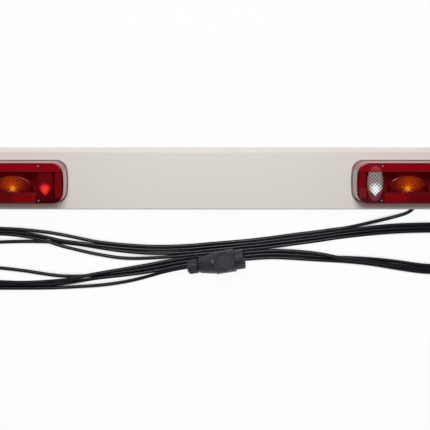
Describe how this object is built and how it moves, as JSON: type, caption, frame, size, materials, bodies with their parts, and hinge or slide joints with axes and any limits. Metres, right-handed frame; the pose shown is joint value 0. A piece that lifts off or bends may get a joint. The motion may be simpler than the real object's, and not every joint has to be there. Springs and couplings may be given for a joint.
{
  "type": "trailer lighting board",
  "caption": "Long off-white channel board with a red rear lamp at each end, a looped black cable and a round trailer plug; fixes behind a trailer or carrier to repeat the car's lights.",
  "frame": {"origin": "under the middle of the board, on the surface that it lies on", "axes": "+X along the board to the right as seen from its front, +Y to its top edge, +Z out of its face"},
  "size_m": [1.067, 0.2809, 0.075],
  "materials": {
    "board_pvc": "smooth extruded off-white PVC, low sheen",
    "cap_plastic": "moulded off-white plastic",
    "black_rubber": "moulded black rubber",
    "base_plastic": "moulded dark grey ABS",
    "reflector_silver": "metallised reflector",
    "zinc_steel": "bright zinc plate",
    "holder_brass": "pressed brass",
    "bulb_glass": "clear glass",
    "red_lens": "glossy transparent red acrylic",
    "amber_lens": "glossy transparent amber acrylic",
    "clear_lens": "clear acrylic with moulded prisms",
    "reflex_red": "red prismatic reflector",
    "cable_black": "semi-gloss black PVC sheath",
    "clip_nylon": "natural nylon",
    "plug_plastic": "moulded dark grey plastic, satin"
  },
  "bodies": {
    "root": {"board_channel": "board_pvc", "bulb_holders_left": "holder_brass", "bulb_holders_right": "holder_brass", "bulbs_left": "bulb_glass", "bulbs_right": "bulb_glass", "cable_clips": "clip_nylon", "cable_hank": "cable_black", "cable_lead": "cable_black", "cable_tail": "cable_black", "end_cap_left": "cap_plastic", "end_cap_right": "cap_plastic", "inner_lead": "cable_black", "lamp_base_left": "base_plastic", "lamp_base_right": "base_plastic", "lamp_gasket_left": "black_rubber", "lamp_gasket_right": "black_rubber", "lamp_grommets_left": "black_rubber", "lamp_grommets_right": "black_rubber", "lamp_nuts_left": "zinc_steel", "lamp_nuts_right": "zinc_steel", "lamp_reflector_left": "reflector_silver", "lamp_reflector_right": "reflector_silver", "lamp_studs_left": "zinc_steel", "lamp_studs_right": "zinc_steel", "lens_amber_left": "amber_lens", "lens_amber_right": "amber_lens", "lens_inner_left": "red_lens", "lens_inner_right": "clear_lens", "lens_red_left": "red_lens", "lens_red_right": "red_lens", "lens_screws_left": "zinc_steel", "lens_screws_right": "zinc_steel", "lens_stop_left": "red_lens", "lens_stop_right": "red_lens", "link_lead": "cable_black", "plate_window_left": "clear_lens", "plate_window_right": "clear_lens", "plug_body": "plug_plastic", "plug_collar": "plug_plastic", "plug_gland_nut": "plug_plastic", "plug_insert": "plug_plastic", "plug_pins": "holder_brass", "plug_seal": "black_rubber", "reflex_left": "reflex_red", "reflex_right": "reflex_red", "slot_liner": "black_rubber"}
  },
  "joints": []
}
